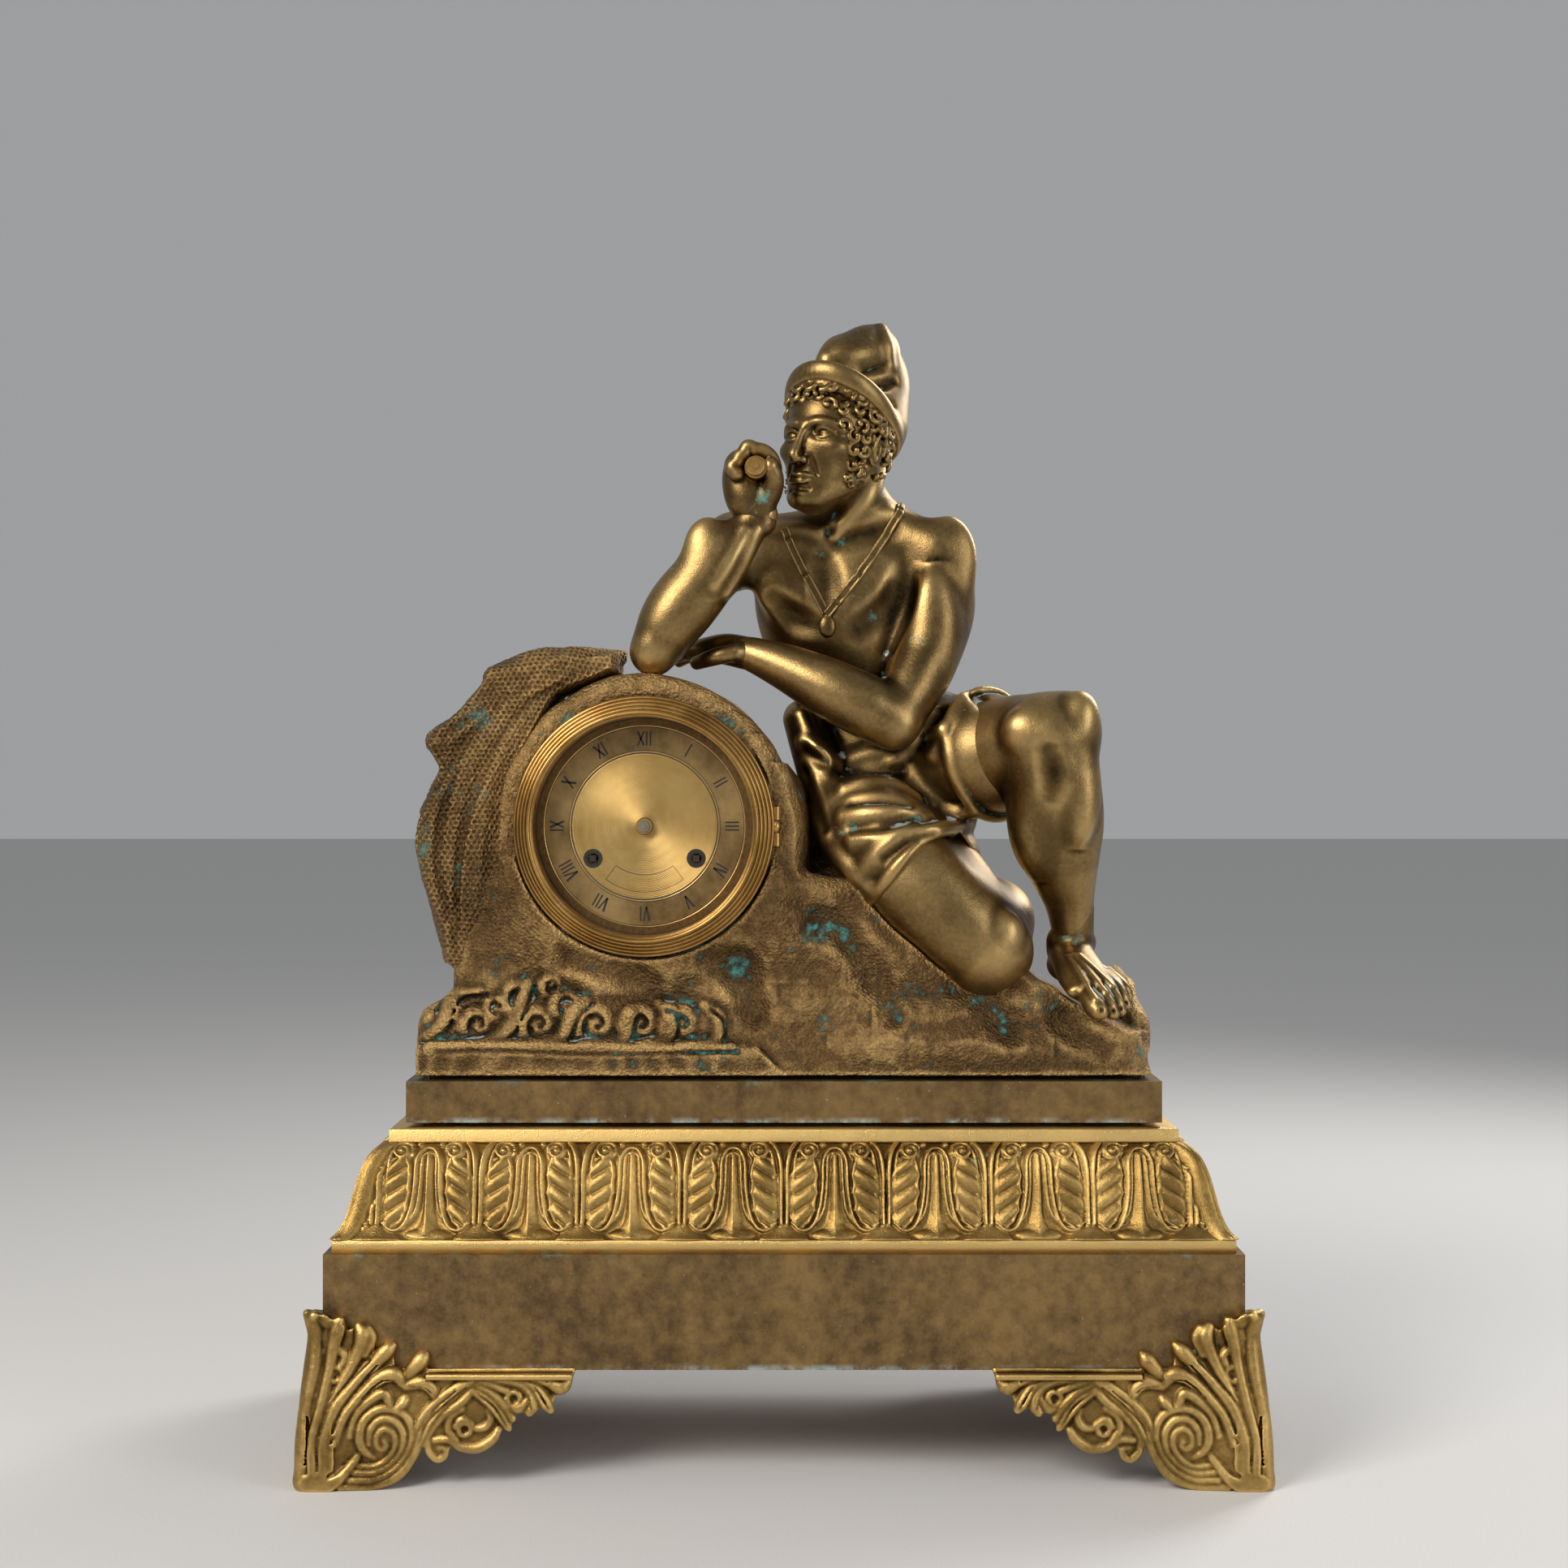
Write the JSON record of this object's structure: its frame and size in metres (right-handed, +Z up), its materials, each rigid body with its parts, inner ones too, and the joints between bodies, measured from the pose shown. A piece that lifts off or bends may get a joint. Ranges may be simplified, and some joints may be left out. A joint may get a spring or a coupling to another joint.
{
  "type": "figural mantel clock",
  "caption": "Bronze and gilt mantel clock: a seated fisherman with a spyglass on a rock that holds a drum movement, on a palmette frieze and scrolled feet.",
  "frame": {"origin": "centre of the box round the clock, at the surface it stands on", "axes": "+Z up, the dial faces -Y, +X to the viewer's right"},
  "size_m": [0.5176, 0.2326, 0.6359],
  "materials": {
    "patinated_bronze": "aged dark bronze with worn golden highs",
    "rock_bronze": "stippled brown bronze with verdigris",
    "plinth_bronze": "blotched brown sheet",
    "gilt_bronze": "worn fire gilding on a matte ground",
    "dial_brass": "engraved and engine turned",
    "case_brass": "reeded, lightly tarnished",
    "movement_brass": "brushed",
    "steel": "turned",
    "bell_metal": "turned",
    "oak": "plain"
  },
  "bodies": {
    "case": {"figure_torso": "patinated_bronze", "breeches": "patinated_bronze", "left_leg": "patinated_bronze", "right_leg": "patinated_bronze", "right_arm": "patinated_bronze", "left_arm": "patinated_bronze", "figure_head": "patinated_bronze", "soft_cap": "patinated_bronze", "spyglass": "patinated_bronze", "neck_ribbon": "patinated_bronze", "medallion": "patinated_bronze", "rock_base": "rock_bronze", "fishing_net": "rock_bronze", "base_box": "plinth_bronze", "upper_plinth": "plinth_bronze", "foot_front_left": "gilt_bronze", "foot_front_right": "gilt_bronze", "foot_rear_left": "gilt_bronze", "foot_rear_right": "gilt_bronze", "palmette_frieze": "gilt_bronze", "dial": "dial_brass", "bezel_seat": "case_brass", "rear_ring": "case_brass", "front_plate": "movement_brass", "back_plate": "movement_brass", "plate_pillars": "movement_brass", "pendulum_cock": "movement_brass", "bezel_hinge_pin": "steel", "door_hinge_pin": "steel", "case_straps": "steel", "minute_stud": "steel", "bell_stand": "steel", "tie_rods": "steel", "tie_nuts": "steel", "spacer_pins": "steel", "bell": "bell_metal", "base_board": "oak"},
    "bezel": {"bezel": "case_brass"},
    "rear_door": {"rear_door": "case_brass"},
    "centre": {"centre_arbor": "movement_brass", "cannon_pinion": "steel"},
    "second_wheel": {"second_wheel": "movement_brass"},
    "going_barrel": {"going_barrel": "movement_brass"},
    "third_wheel": {"third_wheel": "movement_brass"},
    "escape_wheel": {"escape_wheel": "movement_brass"},
    "minute_wheel": {"minute_wheel": "movement_brass"},
    "hour_wheel": {"hour_wheel": "movement_brass"},
    "pin_wheel": {"pin_wheel": "movement_brass", "count_wheel": "movement_brass"},
    "strike_barrel": {"strike_barrel": "movement_brass"},
    "fly": {"fly": "movement_brass"},
    "going_winding_arbor": {"going_winding_arbor": "steel"},
    "strike_winding_arbor": {"strike_winding_arbor": "steel"},
    "pendulum": {"pendulum_rod": "steel", "pendulum_bob": "movement_brass"},
    "pallets": {"pallets": "steel"},
    "hammer": {"hammer": "steel"}
  },
  "joints": [
    {"name": "bezel_hinge", "type": "hinge", "parent": "case", "child": "bezel", "pos_m": [-0.00452, -0.0526, 0.3476], "axis": [0, 0, 1], "range_deg": [0, 95]},
    {"name": "rear_door_hinge", "type": "hinge", "parent": "case", "child": "rear_door", "pos_m": [-0.1499, 0.0526, 0.3476], "axis": [0, 0, 1], "range_deg": [0, 95]},
    {"name": "centre_spin", "type": "hinge", "parent": "case", "child": "centre", "pos_m": [-0.0773, 0, 0.3476], "axis": [0, -1, 0], "continuous": true},
    {"name": "second_spin", "type": "hinge", "parent": "case", "child": "second_wheel", "pos_m": [-0.05651, 0, 0.35346], "axis": [0, -1, 0], "continuous": true},
    {"name": "going_barrel_spin", "type": "hinge", "parent": "case", "child": "going_barrel", "pos_m": [-0.04868, 0, 0.32971], "axis": [0, -1, 0], "continuous": true},
    {"name": "third_spin", "type": "hinge", "parent": "case", "child": "third_wheel", "pos_m": [-0.08631, 0, 0.36455], "axis": [0, -1, 0], "continuous": true},
    {"name": "escape_spin", "type": "hinge", "parent": "case", "child": "escape_wheel", "pos_m": [-0.0773, 0, 0.38013], "axis": [0, -1, 0], "continuous": true},
    {"name": "minute_spin", "type": "hinge", "parent": "case", "child": "minute_wheel", "pos_m": [-0.0773, 0, 0.3692], "axis": [0, -1, 0], "continuous": true},
    {"name": "hour_spin", "type": "hinge", "parent": "case", "child": "hour_wheel", "pos_m": [-0.0773, 0, 0.3476], "axis": [0, -1, 0], "continuous": true},
    {"name": "pin_spin", "type": "hinge", "parent": "case", "child": "pin_wheel", "pos_m": [-0.1081, 0, 0.35462], "axis": [0, -1, 0], "continuous": true},
    {"name": "strike_barrel_spin", "type": "hinge", "parent": "case", "child": "strike_barrel", "pos_m": [-0.10592, 0, 0.32971], "axis": [0, -1, 0], "continuous": true},
    {"name": "fly_spin", "type": "hinge", "parent": "case", "child": "fly", "pos_m": [-0.10313, 0, 0.37317], "axis": [0, -1, 0], "continuous": true},
    {"name": "going_winding", "type": "hinge", "parent": "case", "child": "going_winding_arbor", "pos_m": [-0.04868, 0, 0.32971], "axis": [0, -1, 0], "continuous": true},
    {"name": "strike_winding", "type": "hinge", "parent": "case", "child": "strike_winding_arbor", "pos_m": [-0.10592, 0, 0.32971], "axis": [0, -1, 0], "continuous": true},
    {"name": "pendulum_swing", "type": "hinge", "parent": "case", "child": "pendulum", "pos_m": [-0.0773, 0, 0.39053], "axis": [0, 1, 0], "range_deg": [-4, 4]},
    {"name": "pallet_swing", "type": "hinge", "parent": "case", "child": "pallets", "pos_m": [-0.0773, 0, 0.39053], "axis": [0, 1, 0], "range_deg": [-4, 4]},
    {"name": "hammer_swing", "type": "hinge", "parent": "case", "child": "hammer", "pos_m": [-0.1273, 0, 0.3446], "axis": [0, 1, 0], "range_deg": [0, 10]}
  ],
  "couplings": [
    {"joint": "second_spin", "follows": "centre_spin", "ratio": -0.2},
    {"joint": "going_barrel_spin", "follows": "centre_spin", "ratio": 0.038095},
    {"joint": "third_spin", "follows": "centre_spin", "ratio": -5},
    {"joint": "escape_spin", "follows": "centre_spin", "ratio": 25},
    {"joint": "minute_spin", "follows": "centre_spin", "ratio": -0.33333},
    {"joint": "hour_spin", "follows": "centre_spin", "ratio": 0.083333},
    {"joint": "strike_barrel_spin", "follows": "pin_spin", "ratio": -0.19048},
    {"joint": "fly_spin", "follows": "pin_spin", "ratio": -5},
    {"joint": "pallet_swing", "follows": "pendulum_swing", "ratio": 1}
  ]
}
